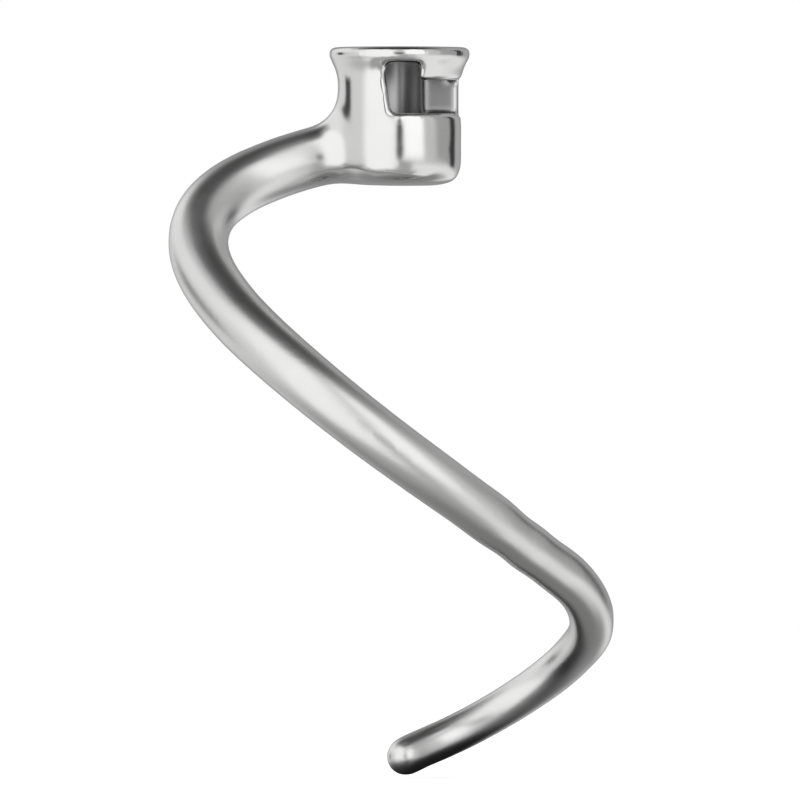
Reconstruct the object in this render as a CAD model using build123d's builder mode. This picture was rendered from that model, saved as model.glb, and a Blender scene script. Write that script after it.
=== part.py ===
from build123d import *
from math import acos, cos, degrees, hypot, pi, radians, sin
import os

os.makedirs("parts", exist_ok=True)

# A spiral dough hook for a stand mixer, cast and polished in one piece.
# All sizes are in millimetres. The origin is the centre of the socket's mouth, +Z points up
# along the mixer's shaft, and the arm leaves the socket towards -X and sweeps round by -Y.

# The mixer's shaft and the cross pin that locks the hook onto it
shaft_diameter = 12.7
shaft_clearance = 0.15
pin_diameter = 4.8
pin_reach = 11.8
pin_clearance = 0.4

# Socket, as turned about its axis
socket_height = 34.4
rim_radius = 17.65
rim_edge = 1.2
rim_band = 0.9
rim_lip = 1.2
flare_radius = 11.4
body_radius = 15.4
foot_radius = 5.0
bore_depth = 28.5

# Window in the socket's wall: a slot for the pin, and the taller seat that the pin drops into
slot_top = 8.4
slot_floor = 16.6
seat_top = 4.0
seat_left = 3.9
seat_right = 4.8
seat_lean = 1.7
tooth_undercut = 0.7
seat_corner = 1.8
tooth_tip = 1.0
window_bevel = 0.8
bevel_wall_share = 0.3  # the most that the bevel takes of the wall behind the keyway

# Arm
arm_reach = 58.5
arm_fall = 152.7
arm_root_rise = 9.8
root_diameter = 15.2
tip_diameter = 9.85
taper_onset = 1.5
root_fillet = 9.5
arm_sections = 30

joint_margin = 3.0
cut_overrun = 5.0
touch = 0.1

bore_radius = shaft_diameter / 2 + shaft_clearance
key_half_width = pin_diameter / 2 + pin_clearance
key_reach = pin_reach + pin_clearance
bevel = min(window_bevel, (body_radius - key_reach) * bevel_wall_share)

# The arm's route: the turn about the axis in degrees, then the reach from the axis and the
# fall below the root, each as a share of the arm's own figure
arm_stations = [
    (178, 0.137, 0.000),
    (180, 0.462, 0.030),
    (187, 0.700, 0.068),
    (194.1, 0.844, 0.109),
    (201, 0.918, 0.161),
    (214.1, 0.938, 0.238),
    (236.2, 0.972, 0.335),
    (266, 1.000, 0.482),
    (295.9, 0.943, 0.617),
    (310.5, 0.919, 0.671),
    (329.4, 0.919, 0.740),
    (337.6, 0.886, 0.781),
    (347.1, 0.807, 0.813),
    (357.5, 0.712, 0.846),
    (368.4, 0.578, 0.889),
    (376.3, 0.457, 0.922),
    (387, 0.275, 0.962),
    (392.6, 0.147, 0.983),
    (374.4, 0.027, 1.000),
]


def arm_centre(turn, reach_share, fall_share):
    reach = arm_reach * reach_share
    height = arm_root_rise - socket_height - arm_fall * fall_share
    return (reach * cos(radians(turn)), reach * sin(radians(turn)), height)


def arm_radius(share):
    # The arm keeps its thickness near the root and tapers off smoothly towards the tip
    loss = (1 - cos(pi * share**taper_onset)) / 2
    return (root_diameter - (root_diameter - tip_diameter) * loss) / 2


with BuildPart() as dough_hook:
    # Turned outside of the socket
    flare_turn = degrees(acos(1 - (rim_radius - body_radius) / (rim_lip + flare_radius)))
    with BuildSketch(Plane.YZ):
        with BuildLine():
            top = Line((0, 0), (rim_radius - rim_edge, 0))
            rim = RadiusArc(top @ 1, (rim_radius, -rim_edge), rim_edge)
            band = Line(rim @ 1, (rim_radius, -rim_edge - rim_band))
            lip = JernArc(start=band @ 1, tangent=(0, -1), radius=rim_lip, arc_size=-flare_turn)
            flare = JernArc(start=lip @ 1, tangent=lip % 1, radius=flare_radius, arc_size=flare_turn)
            side = Line(flare @ 1, (body_radius, foot_radius - socket_height))
            foot = RadiusArc(side @ 1, (body_radius - foot_radius, -socket_height), foot_radius)
            Polyline(foot @ 1, (0, -socket_height), (0, 0))
        make_face()
    revolve(axis=Axis.Z)

    # Tapering arm, lofted through round sections square to its route
    with BuildLine() as arm_route:
        Spline([arm_centre(*station) for station in arm_stations])
    arm_line = arm_route.edges()[0]
    for step in range(arm_sections + 1):
        share = step / arm_sections
        section = Plane(arm_line.location_at(share, frame_method=FrameMethod.CORRECTED))
        with BuildSketch(section):
            Circle(arm_radius(share))
    loft()

    # Domed tip, turned about the direction in which the arm ends
    tip_radius = tip_diameter / 2
    with BuildSketch(Plane(origin=section.origin, x_dir=section.x_dir, z_dir=-section.y_dir)):
        with BuildLine():
            CenterArc((0, 0), tip_radius, 0, 90)
            Polyline((0, tip_radius), (0, 0), (tip_radius, 0))
        make_face()
    revolve(axis=Axis(section.origin, section.z_dir))

    # Smooth blend where the arm grows out of the socket
    joint_reach = body_radius + joint_margin
    joint_edges = [
        edge
        for edge in dough_hook.edges()
        if -joint_reach < edge.bounding_box().min.X and edge.bounding_box().max.X < -bore_radius
    ]
    fillet(joint_edges, root_fillet)

    # Blind bore for the shaft
    Hole(radius=bore_radius, depth=bore_depth)

    # Keyway that lets the pin down the wall to the slot
    with BuildSketch(Plane.XY):
        with Locations((key_reach / 2, 0)):
            Rectangle(key_reach, 2 * key_half_width)
    extrude(amount=-slot_floor, mode=Mode.SUBTRACT)

    # Slot and seat, cut through the front of the wall as far back as the keyway's far side
    outside = rim_radius + cut_overrun
    seat_foot = seat_lean - seat_left
    seat_shoulder = seat_right + tooth_undercut
    with BuildSketch(Plane.XZ.offset(-key_half_width)) as window:
        with BuildLine():
            Polyline(
                (-seat_left, -seat_top),
                (seat_shoulder, -seat_top),
                (seat_right, -slot_top),
                (outside, -slot_top),
                (outside, -slot_floor),
                (seat_foot, -slot_floor),
                close=True,
            )
        make_face()
        fillet(window.vertices().sort_by_distance((-seat_left, -seat_top))[0], seat_corner)
        fillet(window.vertices().sort_by_distance((seat_shoulder, -seat_top))[0], tooth_tip)
        fillet(window.vertices().sort_by_distance((seat_right, -slot_top))[0], tooth_tip)
        fillet(window.vertices().sort_by_distance((seat_foot, -slot_floor))[0], tooth_tip)
    extrude(amount=outside + key_half_width, mode=Mode.SUBTRACT)

    # Bevelled outer edges of the window, so that the wall shows no sharp rim
    window_edges = [
        edge
        for edge in dough_hook.edges()
        if hypot(edge.center().X, edge.center().Y) > body_radius - bevel
        and seat_top - touch < -edge.center().Z < slot_floor + touch
        and edge.center().X > -seat_left - touch
        and edge.center().Y < key_half_width + touch
    ]
    chamfer(window_edges, bevel)

dough_hook.part.label = "dough_hook"
export_step(dough_hook.part, "parts/dough_hook.step")
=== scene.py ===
import math

import bpy
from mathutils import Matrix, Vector


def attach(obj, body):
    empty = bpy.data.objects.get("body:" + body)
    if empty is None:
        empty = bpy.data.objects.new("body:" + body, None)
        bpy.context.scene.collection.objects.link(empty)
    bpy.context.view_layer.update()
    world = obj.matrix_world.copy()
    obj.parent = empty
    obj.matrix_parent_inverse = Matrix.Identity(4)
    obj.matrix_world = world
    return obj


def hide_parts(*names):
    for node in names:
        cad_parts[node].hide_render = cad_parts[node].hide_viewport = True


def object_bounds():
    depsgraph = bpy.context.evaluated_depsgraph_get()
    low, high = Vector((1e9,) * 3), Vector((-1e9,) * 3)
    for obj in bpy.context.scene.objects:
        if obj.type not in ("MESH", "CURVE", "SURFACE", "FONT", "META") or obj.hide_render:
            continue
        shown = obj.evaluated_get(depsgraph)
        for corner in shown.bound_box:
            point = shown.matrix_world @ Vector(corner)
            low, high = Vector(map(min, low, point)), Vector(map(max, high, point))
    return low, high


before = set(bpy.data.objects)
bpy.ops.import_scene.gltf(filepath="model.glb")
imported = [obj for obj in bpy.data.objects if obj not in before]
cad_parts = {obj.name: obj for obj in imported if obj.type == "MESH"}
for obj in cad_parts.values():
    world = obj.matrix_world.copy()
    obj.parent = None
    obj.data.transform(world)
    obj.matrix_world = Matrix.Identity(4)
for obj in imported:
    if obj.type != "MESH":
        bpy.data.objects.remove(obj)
cadLow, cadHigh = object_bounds()
print("frame loaded")

white = (1, 1, 1, 1)


# Small helpers for objects and node trees

def addObject(name, data):
    made = bpy.data.objects.new(name, data)
    bpy.context.scene.collection.objects.link(made)
    return made


def flatSheet(name, centre, half, height):
    x, y = centre
    corners = [
        (x - half, y - half, height),
        (x + half, y - half, height),
        (x + half, y + half, height),
        (x - half, y + half, height),
    ]
    mesh = bpy.data.meshes.new(name)
    mesh.from_pydata(corners, [], [(0, 1, 2, 3)])
    return addObject(name, mesh)


def addNode(tree, kind, **settings):
    node = tree.nodes.new(kind)
    for name, value in settings.items():
        setattr(node, name, value)
    return node


def feed(tree, socket, value):
    # A plain value is set on the socket, and an output is linked to it
    if isinstance(value, (int, float, tuple)):
        socket.default_value = value
    else:
        tree.links.new(value, socket)


def splitNode(tree, place):
    split = addNode(tree, "ShaderNodeSeparateXYZ")
    tree.links.new(place, split.inputs[0])
    return split.outputs


def mathNode(tree, operation, first, second=None):
    node = addNode(tree, "ShaderNodeMath", operation=operation)
    feed(tree, node.inputs[0], first)
    if second is not None:
        feed(tree, node.inputs[1], second)
    return node.outputs[0]


def vectorNode(tree, operation, first, second):
    node = addNode(tree, "ShaderNodeVectorMath", operation=operation)
    feed(tree, node.inputs[0], first)
    feed(tree, node.inputs["Scale"] if operation == "SCALE" else node.inputs[1], second)
    return node.outputs[0]


def rangeNode(tree, value, fromLow, fromHigh, toLow, toHigh, smooth=False):
    node = addNode(tree, "ShaderNodeMapRange", clamp=True)
    node.interpolation_type = "SMOOTHSTEP" if smooth else "LINEAR"
    tree.links.new(value, node.inputs["Value"])
    for name, number in (
        ("From Min", fromLow),
        ("From Max", fromHigh),
        ("To Min", toLow),
        ("To Max", toHigh),
    ):
        node.inputs[name].default_value = number
    return node.outputs["Result"]


def mixValue(tree, base, top, mask):
    mix = addNode(tree, "ShaderNodeMix", data_type="FLOAT")
    tree.links.new(mask, mix.inputs["Factor"])
    feed(tree, mix.inputs["A"], base)
    feed(tree, mix.inputs["B"], top)
    return mix.outputs["Result"]


def mixShader(tree, share, first, second):
    mix = addNode(tree, "ShaderNodeMixShader")
    tree.links.new(share, mix.inputs["Fac"])
    tree.links.new(first, mix.inputs[1])
    tree.links.new(second, mix.inputs[2])
    return mix.outputs[0]


def noiseNode(tree, place, scale, detail):
    noise = addNode(tree, "ShaderNodeTexNoise")
    noise.inputs["Detail"].default_value = detail
    tree.links.new(place, noise.inputs["Vector"])
    tree.links.new(scale, noise.inputs["Scale"])
    return noise


def distanceFromAxis(tree, parts):
    squares = [mathNode(tree, "MULTIPLY", parts[axis], parts[axis]) for axis in (0, 1)]
    return mathNode(tree, "SQRT", mathNode(tree, "ADD", *squares))


# The hook's own surface: the casting after grinding and polishing. All lengths are in metres.
# A box is its low and its high corner, and a pair of lengths is where a mask starts and ends.
casting = {
    "weldGap": 0.000005,  # corners nearer than this become one
    "gridSize": 0.00053,  # spacing of the polished surface's faces
    "edgePasses": 8,  # how far the polishing wheel rounds the edges
    "curvePasses": 45,  # how far it evens out the broad curves
    "besideWindow": ((None, None, None), (-0.0075, None, -0.0035)),  # left of it, under the rim
    "belowWindow": ((None, None, None), (None, None, -0.0195)),
    "curveFeather": 0.0015,
    "wallRadii": (0.0128, 0.0140),  # the curves are evened beyond these, on the wall's outside
    "boreEnd": (-0.0305, -0.0295),  # and everywhere below the bore
    "blendPasses": 130,  # how far the ground blend between the arm and the socket is evened
    "blendBox": ((-0.036, None, -0.040), (0.010, None, -0.0265)),
    "blendFeather": 0.004,
    "rippleSize": 110.0,  # slow waviness of a hand-held polish, per metre
    "rippleDepth": 0.000012,
    "rippleDetail": 1.0,
}


def boxMask(tree, parts, box, feather):
    # 1 inside a box, fading to 0 over the feather outside it; None leaves a side open
    low, high = box
    mask = None
    for axis in range(3):
        for edge, outward in ((low[axis], -1), (high[axis], 1)):
            if edge is None:
                continue
            side = rangeNode(tree, parts[axis], edge, edge + outward * feather, 1, 0, True)
            mask = side if mask is None else mathNode(tree, "MULTIPLY", mask, side)
    return mask


def blurNode(tree, value, passes):
    blur = addNode(tree, "GeometryNodeBlurAttribute", data_type="FLOAT_VECTOR")
    tree.links.new(value, blur.inputs["Value"])
    tree.links.new(passes, blur.inputs["Iterations"])
    return blur.outputs["Value"]


def movedNode(tree, geometry, name, value):
    # Sets the position of every point, or its offset
    moved = addNode(tree, "GeometryNodeSetPosition")
    tree.links.new(geometry, moved.inputs["Geometry"])
    tree.links.new(value, moved.inputs[name])
    return moved.outputs[0]


def evenedOut(tree, geometry, passes, mask):
    # Smooths bumps away without shrinking the form: what the blur takes off broadly is put back
    place = addNode(tree, "GeometryNodeInputPosition").outputs[0]
    moved = vectorNode(tree, "SUBTRACT", blurNode(tree, place, passes), place)
    kept = vectorNode(tree, "SUBTRACT", moved, blurNode(tree, moved, passes))
    return movedNode(tree, geometry, "Offset", vectorNode(tree, "SCALE", kept, mask))


def polishTree():
    tree = bpy.data.node_groups.new("polishedCasting", "GeometryNodeTree")
    for name, kind in (
        ("Geometry", "NodeSocketGeometry"),
        ("Edge Passes", "NodeSocketInt"),
        ("Curve Passes", "NodeSocketInt"),
        ("Blend Passes", "NodeSocketInt"),
        ("Ripple Size", "NodeSocketFloat"),
        ("Ripple Depth", "NodeSocketFloat"),
        ("Finish", "NodeSocketMaterial"),
    ):
        tree.interface.new_socket(name=name, in_out="INPUT", socket_type=kind)
    tree.interface.new_socket(name="Geometry", in_out="OUTPUT", socket_type="NodeSocketGeometry")
    given = addNode(tree, "NodeGroupInput").outputs
    place = addNode(tree, "GeometryNodeInputPosition").outputs[0]
    parts = splitNode(tree, place)

    # edges all over
    blurred = blurNode(tree, place, given["Edge Passes"])
    geometry = movedNode(tree, given["Geometry"], "Position", blurred)

    # broad curves, clear of the rim, the window and the bore
    besideWindow = boxMask(tree, parts, casting["besideWindow"], casting["curveFeather"])
    belowWindow = boxMask(tree, parts, casting["belowWindow"], casting["curveFeather"])
    outside = rangeNode(tree, distanceFromAxis(tree, parts), *casting["wallRadii"], 0, 1, True)
    belowBore = rangeNode(tree, parts[2], *casting["boreEnd"], 1, 0, True)
    clear = mathNode(tree, "MAXIMUM", outside, belowBore)
    curves = mathNode(tree, "MULTIPLY", mathNode(tree, "MAXIMUM", besideWindow, belowWindow), clear)
    geometry = evenedOut(tree, geometry, given["Curve Passes"], curves)

    # the blend under the arm's root
    blend = boxMask(tree, parts, casting["blendBox"], casting["blendFeather"])
    blend = mathNode(tree, "MULTIPLY", blend, clear)
    geometry = evenedOut(tree, geometry, given["Blend Passes"], blend)

    # slow ripples, cut into the surface and never added to it
    ripple = noiseNode(tree, place, given["Ripple Size"], casting["rippleDetail"])
    depth = mathNode(tree, "MULTIPLY", ripple.outputs["Fac"], given["Ripple Depth"])
    normal = addNode(tree, "GeometryNodeInputNormal").outputs[0]
    inward = vectorNode(tree, "SCALE", normal, mathNode(tree, "MULTIPLY", depth, -1.0))
    geometry = movedNode(tree, geometry, "Offset", inward)

    smooth = addNode(tree, "GeometryNodeSetShadeSmooth")
    tree.links.new(geometry, smooth.inputs["Geometry"])
    real = addNode(tree, "GeometryNodeRealizeInstances")
    tree.links.new(smooth.outputs[0], real.inputs["Geometry"])
    finish = addNode(tree, "GeometryNodeSetMaterial")
    tree.links.new(real.outputs[0], finish.inputs["Geometry"])
    tree.links.new(given["Finish"], finish.inputs["Material"])
    made = addNode(tree, "NodeGroupOutput")
    tree.links.new(finish.outputs[0], made.inputs["Geometry"])
    return tree


def polishedHook(finish):
    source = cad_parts["dough_hook"]
    hook = addObject("polished_hook", source.data.copy())
    hook.data.materials.clear()
    weld = hook.modifiers.new("weld", "WELD")
    weld.merge_threshold = casting["weldGap"]
    grid = hook.modifiers.new("grid", "REMESH")
    grid.mode = "VOXEL"
    grid.voxel_size = casting["gridSize"]
    polish = hook.modifiers.new("polish", "NODES")
    polish.node_group = polishTree()
    wanted = {
        "Edge Passes": casting["edgePasses"],
        "Curve Passes": casting["curvePasses"],
        "Blend Passes": casting["blendPasses"],
        "Ripple Size": casting["rippleSize"],
        "Ripple Depth": casting["rippleDepth"],
        "Finish": finish,
    }
    for item in polish.node_group.interface.items_tree:
        if item.in_out == "INPUT" and item.name in wanted:
            polish[item.identifier] = wanted[item.name]
    bpy.context.view_layer.update()
    shown = hook.evaluated_get(bpy.context.evaluated_depsgraph_get())
    mesh = bpy.data.meshes.new_from_object(shown)
    hook.modifiers.clear()
    hook.data = mesh
    mesh.name = "polished_hook"
    mesh.calc_loop_triangles()
    print("hook surface made:", len(mesh.loop_triangles), "triangles")
    return hook


# Polished steel
steel = {
    "colour": (0.70, 0.70, 0.695),
    "shadeShift": 0.05,  # how far the colour darkens from patch to patch
    "socketRough": 0.14,
    "armRough": 0.30,
    "roughShift": 0.05,
    "armReach": (0.016, 0.026),  # from the socket's finish to the arm's, going outwards
    "armTop": (-0.044, -0.036),  # and going down
    "paintedShadeColour": (0.40, 0.40, 0.40, 1),  # painted shade: a darker colour inside the socket, standing in for the shade in its recess
    "paintedShadeRough": 0.30,
    "paintedShadeRadii": (0.0136, 0.0144),  # it reaches out this far
    "paintedShadeEnd": (-0.0300, -0.0290),  # and from here
    "paintedShadeTop": (-0.0012, -0.0004),  # up to here
    "grainSize": 5200.0,  # fine grain left by the polishing wheel, per metre
    "grainDepth": 0.0000012,
    "grainDetail": 2.0,
    "grainRoughness": 0.6,
    "grainDulls": (0.7, 1),  # share of the dullness, from the lowest grain to the highest
    "patchSize": 60.0,  # clouds of duller polish, per metre
    "patchDetail": 4.0,
    "noiseSpan": (0.3, 0.7),  # the part of the noise's range that counts
}


def polishGroup():
    # Fine grain and patches of duller polish
    group = bpy.data.node_groups.new("handPolish", "ShaderNodeTree")
    for way, names in (
        ("INPUT", ("Grain Size", "Grain Depth", "Patch Size")),
        ("OUTPUT", ("Patches", "Dullness", "Height")),
    ):
        for name in names:
            group.interface.new_socket(name=name, in_out=way, socket_type="NodeSocketFloat")
    given = addNode(group, "NodeGroupInput").outputs
    made = addNode(group, "NodeGroupOutput").inputs
    place = addNode(group, "ShaderNodeTexCoord").outputs["Object"]

    grain = noiseNode(group, place, given["Grain Size"], steel["grainDetail"])
    grain.inputs["Roughness"].default_value = steel["grainRoughness"]
    patches = noiseNode(group, place, given["Patch Size"], steel["patchDetail"])

    height = mathNode(group, "MULTIPLY", grain.outputs["Fac"], given["Grain Depth"])
    patchShare = rangeNode(group, patches.outputs["Fac"], *steel["noiseSpan"], 0, 1)
    grainShare = rangeNode(group, grain.outputs["Fac"], *steel["noiseSpan"], *steel["grainDulls"])
    dullness = mathNode(group, "MULTIPLY", patchShare, grainShare)
    group.links.new(patchShare, made["Patches"])
    group.links.new(dullness, made["Dullness"])
    group.links.new(height, made["Height"])
    return group


def mixColour(tree, base, top, mask):
    mix = addNode(tree, "ShaderNodeMix", data_type="RGBA")
    tree.links.new(mask, mix.inputs["Factor"])
    feed(tree, mix.inputs["A"], base)
    feed(tree, mix.inputs["B"], top)
    return mix.outputs["Result"]


def polishedSteel():
    material = bpy.data.materials.new("polishedSteel")
    material.use_nodes = True
    tree = material.node_tree
    shader = tree.nodes["Principled BSDF"]
    shader.inputs["Metallic"].default_value = 1.0
    polish = addNode(tree, "ShaderNodeGroup", node_tree=polishGroup())
    polish.inputs["Grain Size"].default_value = steel["grainSize"]
    polish.inputs["Grain Depth"].default_value = steel["grainDepth"]
    polish.inputs["Patch Size"].default_value = steel["patchSize"]

    # places on the hook: the painted shade inside the socket, and the arm
    parts = splitNode(tree, addNode(tree, "ShaderNodeTexCoord").outputs["Object"])
    fromAxis = distanceFromAxis(tree, parts)
    inside = rangeNode(tree, fromAxis, *steel["paintedShadeRadii"], 1, 0, True)
    aboveEnd = rangeNode(tree, parts[2], *steel["paintedShadeEnd"], 0, 1)
    belowTop = rangeNode(tree, parts[2], *steel["paintedShadeTop"], 1, 0)
    socketShadeMask = mathNode(tree, "MULTIPLY", mathNode(tree, "MULTIPLY", inside, aboveEnd), belowTop)
    farOut = rangeNode(tree, fromAxis, *steel["armReach"], 0, 1, True)
    lowDown = rangeNode(tree, parts[2], *steel["armTop"], 1, 0, True)
    onArm = mathNode(tree, "MAXIMUM", farOut, lowDown)

    darker = [part * (1 - steel["shadeShift"]) for part in steel["colour"]]
    shade = mixColour(tree, (*steel["colour"], 1), (*darker, 1), polish.outputs["Patches"])
    # painted shade: the inside of the socket is coloured darker, where shade falls in its recess
    shadedColour = mixColour(tree, shade, steel["paintedShadeColour"], socketShadeMask)
    tree.links.new(shadedColour, shader.inputs["Base Color"])

    rough = rangeNode(tree, onArm, 0, 1, steel["socketRough"], steel["armRough"])
    duller = mathNode(tree, "MULTIPLY", polish.outputs["Dullness"], steel["roughShift"])
    rough = mixValue(tree, mathNode(tree, "ADD", rough, duller), steel["paintedShadeRough"], socketShadeMask)
    tree.links.new(rough, shader.inputs["Roughness"])
    bump = addNode(tree, "ShaderNodeBump")
    bump.inputs["Distance"].default_value = 1.0
    bump.inputs["Strength"].default_value = 1.0
    tree.links.new(polish.outputs["Height"], bump.inputs["Height"])
    tree.links.new(bump.outputs["Normal"], shader.inputs["Normal"])
    return material


steelFinish = polishedSteel()
hook = polishedHook(steelFinish)
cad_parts["dough_hook"].data.materials.clear()
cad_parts["dough_hook"].data.materials.append(steelFinish)
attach(hook, "root")
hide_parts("dough_hook")
print("steel finish set")


# Studio
studio = {
    "floorColour": (0.80, 0.80, 0.80, 1),
    "floorRough": 0.6,
    "floorSize": 6.0,
    "floorGap": 0.0005,  # between the floor and the hook's lowest point
    "floorLift": 0.62,  # added for the camera alone, so that the lit floor reads as white paper
    "lampPlace": (0.2, -0.3, 1.2),
    "lampSize": 0.9,
    "lampPower": 6,
    "room": 0.50,  # brightness of the room where no patch covers it
}

# What the steel mirrors, as patches of the room round the hook, laid over one another in turn.
# Turn and half width are in degrees: 0 is behind the camera, 90 to its right. Rise is upwards,
# and soft is how far the edges fade. Level is the patch's brightness.
roomPatches = [
    {"turn": -102, "half": 58, "rise": (-30, 44), "soft": 12, "level": 0.88},  # left wall
    {"turn": -112, "half": 52, "rise": (13, 46), "soft": 8, "level": 1.04},  # its paler upper part
    {"turn": 180, "half": 24, "rise": (-90, 90), "soft": 12, "level": 0.34},  # far wall
    {"turn": 80, "half": 30, "rise": (-60, 50), "soft": 12, "level": 0.46},  # right wall
    {"turn": -38, "half": 33, "rise": (-36, 59), "soft": 9, "level": 1.28},  # left softbox
    {"turn": 28, "half": 21, "rise": (-12, 60), "soft": 7, "level": 1.42},  # right softbox
    {"turn": 60, "half": 13, "rise": (-12, 50), "soft": 8, "level": 0.72},  # its dimmer side
    {"turn": 66, "half": 42, "rise": (-64, -14), "soft": 10, "level": 1.06},  # low reflector
    {"turn": 128, "half": 34, "rise": (-56, -14), "soft": 8, "level": 1.00},  # second reflector
    {"turn": 0, "half": 6, "rise": (-9, 9), "soft": 4, "level": 0.04},  # gap between softboxes
    {"turn": 119, "half": 9, "rise": (-11, 30), "soft": 4, "level": 0.04},  # dark card, right
    {"turn": -114, "half": 9, "rise": (-9, 8), "soft": 4, "level": 0.04},  # dark card, left
    {"turn": 180, "half": 78, "rise": (54, 95), "soft": 10, "level": 0.10},  # dark above, behind
    {"turn": 0, "half": 181, "rise": (64, 95), "soft": 9, "level": 0.03},  # ceiling
    {"turn": -40, "half": 34, "rise": (70, 95), "soft": 9, "level": 0.12},  # paler spot on it
    {"turn": -20, "half": 60, "rise": (-95, -40), "soft": 10, "level": 0.46},  # floor in front
    {"turn": 180, "half": 90, "rise": (-95, -40), "soft": 10, "level": 0.32},  # floor behind
    {"turn": 0, "half": 181, "rise": (-95, -66), "soft": 10, "level": 0.24},  # floor underneath
]


def patchMask(tree, turn, rise, patch):
    away = mathNode(tree, "ABSOLUTE", mathNode(tree, "SUBTRACT", turn, float(patch["turn"])))
    away = mathNode(tree, "MINIMUM", away, mathNode(tree, "SUBTRACT", 360.0, away))
    soft = patch["soft"]
    low, high = patch["rise"]
    across = rangeNode(tree, away, patch["half"] - soft, patch["half"] + soft, 1, 0, True)
    above = rangeNode(tree, rise, low - soft, low + soft, 0, 1, True)
    below = rangeNode(tree, rise, high - soft, high + soft, 1, 0, True)
    return mathNode(tree, "MULTIPLY", across, mathNode(tree, "MULTIPLY", above, below))


def studioWorld():
    world = bpy.data.worlds.new("studioWorld")
    bpy.context.scene.world = world
    world.use_nodes = True
    tree = world.node_tree
    tree.nodes.clear()
    place = addNode(tree, "ShaderNodeTexCoord").outputs["Generated"]
    across, ahead, up = splitNode(tree, place)
    towards = mathNode(tree, "MULTIPLY", ahead, -1.0)
    turn = mathNode(tree, "DEGREES", mathNode(tree, "ARCTAN2", across, towards))
    rise = mathNode(tree, "DEGREES", mathNode(tree, "ARCSINE", up))
    level = studio["room"]
    for patch in roomPatches:
        level = mixValue(tree, level, patch["level"], patchMask(tree, turn, rise, patch))

    # the steel mirrors the patches, and the camera sees plain white
    shades = []
    for strength in (level, 1.0):
        light = addNode(tree, "ShaderNodeBackground")
        light.inputs["Color"].default_value = white
        feed(tree, light.inputs["Strength"], strength)
        shades.append(light.outputs[0])
    seen = addNode(tree, "ShaderNodeLightPath").outputs["Is Camera Ray"]
    out = addNode(tree, "ShaderNodeOutputWorld")
    tree.links.new(mixShader(tree, seen, *shades), out.inputs["Surface"])


def studioLamp():
    # a broad lamp overhead, which only gives the floor its shadow
    data = bpy.data.lights.new("overheadLamp", "AREA")
    data.shape = "DISK"
    data.size = studio["lampSize"]
    data.energy = studio["lampPower"]
    lamp = addObject("overheadLamp", data)
    lamp.location = studio["lampPlace"]
    lamp.rotation_euler = Vector(studio["lampPlace"]).to_track_quat("Z", "Y").to_euler()
    lamp.visible_camera = False
    lamp.visible_glossy = False


def studioFloor():
    half = studio["floorSize"] / 2
    floor = flatSheet("studio_floor", (0, 0), half, cadLow.z - studio["floorGap"])
    material = bpy.data.materials.new("paleFloor")
    material.use_nodes = True
    tree = material.node_tree
    shader = tree.nodes["Principled BSDF"]
    shader.inputs["Base Color"].default_value = studio["floorColour"]
    shader.inputs["Roughness"].default_value = studio["floorRough"]
    shader.inputs["Emission Color"].default_value = white
    seen = addNode(tree, "ShaderNodeLightPath").outputs["Is Camera Ray"]
    lift = mathNode(tree, "MULTIPLY", seen, studio["floorLift"])
    tree.links.new(lift, shader.inputs["Emission Strength"])
    floor.data.materials.append(material)
    floor.visible_glossy = False


# painted shadow under the tail, seen only in the steel's reflections
shadowSheet = {
    "centre": (0.014, 0.004),
    "gap": 0.0004,  # between the sheet and the hook's lowest point
    "stretch": 1.3,  # longer along x, as the tail is
    "core": 0.009,  # dark out to here
    "edge": 0.031,  # and gone from here on
    "level": 0.01,
}


def paintedFloorShadow():
    # painted shadow: a dark sheet on the floor under the tail, which only the steel sees, standing
    # in for the tail's shadow on the floor in its reflections
    low = cadLow.z - shadowSheet["gap"]
    made = flatSheet("painted_floor_shadow", shadowSheet["centre"], shadowSheet["edge"] * shadowSheet["stretch"], low)
    material = bpy.data.materials.new("paintedFloorShadow")
    material.use_nodes = True
    tree = material.node_tree
    tree.nodes.clear()
    place = addNode(tree, "ShaderNodeTexCoord").outputs["Object"]
    fromCentre = vectorNode(tree, "SUBTRACT", place, (*shadowSheet["centre"], low))
    squashed = vectorNode(tree, "MULTIPLY", fromCentre, (1 / shadowSheet["stretch"], 1, 1))
    away = distanceFromAxis(tree, splitNode(tree, squashed))
    clear = rangeNode(tree, away, shadowSheet["core"], shadowSheet["edge"], 0, 1, True)
    dark = addNode(tree, "ShaderNodeEmission")
    dark.inputs["Color"].default_value = white
    dark.inputs["Strength"].default_value = shadowSheet["level"]
    seeThrough = addNode(tree, "ShaderNodeBsdfTransparent")
    out = addNode(tree, "ShaderNodeOutputMaterial")
    surface = mixShader(tree, clear, dark.outputs[0], seeThrough.outputs[0])
    tree.links.new(surface, out.inputs["Surface"])
    made.data.materials.append(material)
    made.visible_camera = False
    made.visible_diffuse = False
    made.visible_transmission = False
    made.visible_shadow = False


studioWorld()
studioLamp()
studioFloor()
paintedFloorShadow()
print("studio lit")


# Camera at the photograph's angle
photo = {
    "frameWidth": 0.2,  # metres across the 800 pixel frame
    "centre": (0.000125, -0.0882),  # x and z at the frame's centre
    "lens": 1000,
    "sensorWidth": 36,
}

cameraData = bpy.data.cameras.new("photo_camera")
cameraData.lens = photo["lens"]
cameraData.sensor_width = photo["sensorWidth"]
camera = addObject("photo_camera", cameraData)
distance = photo["frameWidth"] * photo["lens"] / photo["sensorWidth"]
camera.location = (photo["centre"][0], -distance, photo["centre"][1])
camera.rotation_euler = (math.radians(90), 0, 0)
bpy.context.scene.camera = camera
bpy.context.scene.view_settings.view_transform = "Standard"

print("camera set")
